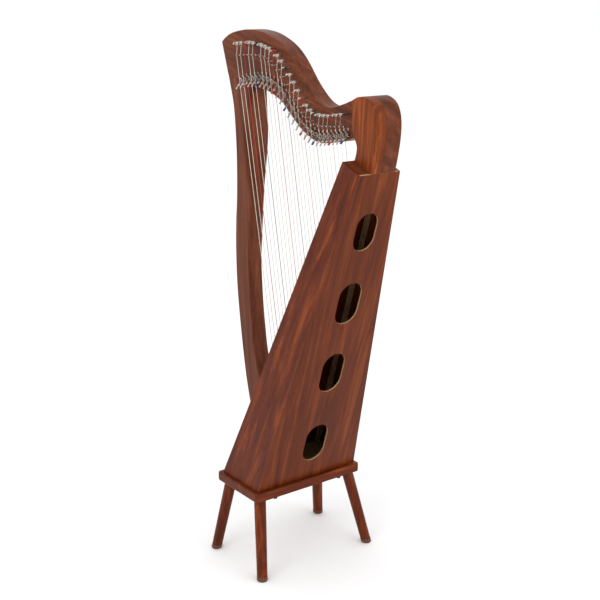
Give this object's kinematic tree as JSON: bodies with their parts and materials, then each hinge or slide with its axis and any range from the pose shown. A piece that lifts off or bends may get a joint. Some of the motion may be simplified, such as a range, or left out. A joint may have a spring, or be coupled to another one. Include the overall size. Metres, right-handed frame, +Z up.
{
  "type": "lever harp",
  "caption": "Lever harp with a bowed pillar, curved neck, tapered soundbox and a stool of splayed legs, with a flip-up lever on each string.",
  "frame": {"origin": "centre of the bounding box's bottom, on the floor between the four feet", "axes": "+Z up, -X towards the pillar, +X towards the player, -Y the player's left, where the pins and levers are"},
  "size_m": [0.6746, 0.382, 1.3872],
  "materials": {
    "red_brown_wood": "satin varnish",
    "dark_brown_wood": "satin varnish",
    "pale_wood": "thin varnish",
    "nickel": "polished",
    "steel": "plain",
    "rubber": "matte",
    "clear_nylon": "translucent"
  },
  "bodies": {
    "harp": {"back_frame": "pale_wood", "back_panel": "red_brown_wood", "base_plate": "red_brown_wood", "bottom_panel": "pale_wood", "bridge_pins": "nickel", "bumper_left": "rubber", "bumper_right": "rubber", "front_lining_left": "pale_wood", "front_lining_right": "pale_wood", "inner_string_rib": "pale_wood", "leg_front_left": "red_brown_wood", "leg_front_right": "red_brown_wood", "leg_rear_left": "red_brown_wood", "leg_rear_right": "red_brown_wood", "lever_bases": "nickel", "neck": "red_brown_wood", "outer_string_rib": "red_brown_wood", "pillar": "dark_brown_wood", "pillar_block": "pale_wood", "pillar_bolt": "steel", "shoulder_block": "red_brown_wood", "shoulder_cheek": "red_brown_wood", "side_left": "red_brown_wood", "side_right": "red_brown_wood", "soundboard": "pale_wood", "strings": "clear_nylon", "tip_front_left": "rubber", "tip_front_right": "rubber", "tip_rear_left": "rubber", "tip_rear_right": "rubber", "top_block": "red_brown_wood", "tuning_pins": "nickel"},
    "lever_01": {"lever_01": "nickel"},
    "lever_02": {"lever_02": "nickel"},
    "lever_03": {"lever_03": "nickel"},
    "lever_04": {"lever_04": "nickel"},
    "lever_05": {"lever_05": "nickel"},
    "lever_06": {"lever_06": "nickel"},
    "lever_07": {"lever_07": "nickel"},
    "lever_08": {"lever_08": "nickel"},
    "lever_09": {"lever_09": "nickel"},
    "lever_10": {"lever_10": "nickel"},
    "lever_11": {"lever_11": "nickel"},
    "lever_12": {"lever_12": "nickel"},
    "lever_13": {"lever_13": "nickel"},
    "lever_14": {"lever_14": "nickel"},
    "lever_15": {"lever_15": "nickel"},
    "lever_16": {"lever_16": "nickel"},
    "lever_17": {"lever_17": "nickel"},
    "lever_18": {"lever_18": "nickel"},
    "lever_19": {"lever_19": "nickel"},
    "lever_20": {"lever_20": "nickel"},
    "lever_21": {"lever_21": "nickel"},
    "lever_22": {"lever_22": "nickel"},
    "lever_23": {"lever_23": "nickel"},
    "lever_24": {"lever_24": "nickel"},
    "lever_25": {"lever_25": "nickel"},
    "lever_26": {"lever_26": "nickel"},
    "lever_27": {"lever_27": "nickel"}
  },
  "joints": [
    {"name": "lever_01_flip", "type": "hinge", "parent": "harp", "child": "lever_01", "pos_m": [-0.23326, -0.003, 1.25809], "axis": [-0.9837, 0, -0.18], "range_deg": [0, 90]},
    {"name": "lever_02_flip", "type": "hinge", "parent": "harp", "child": "lever_02", "pos_m": [-0.21527, -0.003, 1.26127], "axis": [-0.9841, 0, -0.1774], "range_deg": [0, 90]},
    {"name": "lever_03_flip", "type": "hinge", "parent": "harp", "child": "lever_03", "pos_m": [-0.19736, -0.003, 1.2643], "axis": [-0.9846, 0, -0.1747], "range_deg": [0, 90]},
    {"name": "lever_04_flip", "type": "hinge", "parent": "harp", "child": "lever_04", "pos_m": [-0.17954, -0.003, 1.26679], "axis": [-0.9851, 0, -0.1721], "range_deg": [0, 90]},
    {"name": "lever_05_flip", "type": "hinge", "parent": "harp", "child": "lever_05", "pos_m": [-0.16182, -0.003, 1.26873], "axis": [-0.9855, 0, -0.1694], "range_deg": [0, 90]},
    {"name": "lever_06_flip", "type": "hinge", "parent": "harp", "child": "lever_06", "pos_m": [-0.14419, -0.003, 1.26999], "axis": [-0.986, 0, -0.1668], "range_deg": [0, 90]},
    {"name": "lever_07_flip", "type": "hinge", "parent": "harp", "child": "lever_07", "pos_m": [-0.12665, -0.003, 1.26961], "axis": [-0.9864, 0, -0.1644], "range_deg": [0, 90]},
    {"name": "lever_08_flip", "type": "hinge", "parent": "harp", "child": "lever_08", "pos_m": [-0.10921, -0.003, 1.2672], "axis": [-0.9867, 0, -0.1623], "range_deg": [0, 90]},
    {"name": "lever_09_flip", "type": "hinge", "parent": "harp", "child": "lever_09", "pos_m": [-0.09185, -0.003, 1.26261], "axis": [-0.987, 0, -0.1606], "range_deg": [0, 90]},
    {"name": "lever_10_flip", "type": "hinge", "parent": "harp", "child": "lever_10", "pos_m": [-0.07458, -0.003, 1.25635], "axis": [-0.9873, 0, -0.1592], "range_deg": [0, 90]},
    {"name": "lever_11_flip", "type": "hinge", "parent": "harp", "child": "lever_11", "pos_m": [-0.0574, -0.003, 1.24729], "axis": [-0.9874, 0, -0.1583], "range_deg": [0, 90]},
    {"name": "lever_12_flip", "type": "hinge", "parent": "harp", "child": "lever_12", "pos_m": [-0.0403, -0.003, 1.234], "axis": [-0.9874, 0, -0.1585], "range_deg": [0, 90]},
    {"name": "lever_13_flip", "type": "hinge", "parent": "harp", "child": "lever_13", "pos_m": [-0.02329, -0.003, 1.21823], "axis": [-0.9872, 0, -0.1595], "range_deg": [0, 90]},
    {"name": "lever_14_flip", "type": "hinge", "parent": "harp", "child": "lever_14", "pos_m": [-0.00637, -0.003, 1.20304], "axis": [-0.987, 0, -0.1605], "range_deg": [0, 90]},
    {"name": "lever_15_flip", "type": "hinge", "parent": "harp", "child": "lever_15", "pos_m": [0.01045, -0.003, 1.1882], "axis": [-0.9868, 0, -0.1617], "range_deg": [0, 90]},
    {"name": "lever_16_flip", "type": "hinge", "parent": "harp", "child": "lever_16", "pos_m": [0.02718, -0.003, 1.17544], "axis": [-0.9867, 0, -0.1624], "range_deg": [0, 90]},
    {"name": "lever_17_flip", "type": "hinge", "parent": "harp", "child": "lever_17", "pos_m": [0.04381, -0.003, 1.16508], "axis": [-0.9867, 0, -0.1625], "range_deg": [0, 90]},
    {"name": "lever_18_flip", "type": "hinge", "parent": "harp", "child": "lever_18", "pos_m": [0.06035, -0.003, 1.1569], "axis": [-0.9868, 0, -0.1617], "range_deg": [0, 90]},
    {"name": "lever_19_flip", "type": "hinge", "parent": "harp", "child": "lever_19", "pos_m": [0.07678, -0.003, 1.15082], "axis": [-0.9871, 0, -0.16], "range_deg": [0, 90]},
    {"name": "lever_20_flip", "type": "hinge", "parent": "harp", "child": "lever_20", "pos_m": [0.09311, -0.003, 1.14738], "axis": [-0.9876, 0, -0.1568], "range_deg": [0, 90]},
    {"name": "lever_21_flip", "type": "hinge", "parent": "harp", "child": "lever_21", "pos_m": [0.10933, -0.003, 1.14677], "axis": [-0.9884, 0, -0.1517], "range_deg": [0, 90]},
    {"name": "lever_22_flip", "type": "hinge", "parent": "harp", "child": "lever_22", "pos_m": [0.12544, -0.003, 1.1486], "axis": [-0.9895, 0, -0.1444], "range_deg": [0, 90]},
    {"name": "lever_23_flip", "type": "hinge", "parent": "harp", "child": "lever_23", "pos_m": [0.14144, -0.003, 1.15095], "axis": [-0.9908, 0, -0.1357], "range_deg": [0, 90]},
    {"name": "lever_24_flip", "type": "hinge", "parent": "harp", "child": "lever_24", "pos_m": [0.15734, -0.003, 1.15341], "axis": [-0.9921, 0, -0.1253], "range_deg": [0, 90]},
    {"name": "lever_25_flip", "type": "hinge", "parent": "harp", "child": "lever_25", "pos_m": [0.17313, -0.003, 1.15608], "axis": [-0.9936, 0, -0.1126], "range_deg": [0, 90]},
    {"name": "lever_26_flip", "type": "hinge", "parent": "harp", "child": "lever_26", "pos_m": [0.18881, -0.003, 1.1588], "axis": [-0.9953, 0, -0.0971], "range_deg": [0, 90]},
    {"name": "lever_27_flip", "type": "hinge", "parent": "harp", "child": "lever_27", "pos_m": [0.20436, -0.003, 1.16152], "axis": [-0.997, 0, -0.0775], "range_deg": [0, 90]}
  ]
}
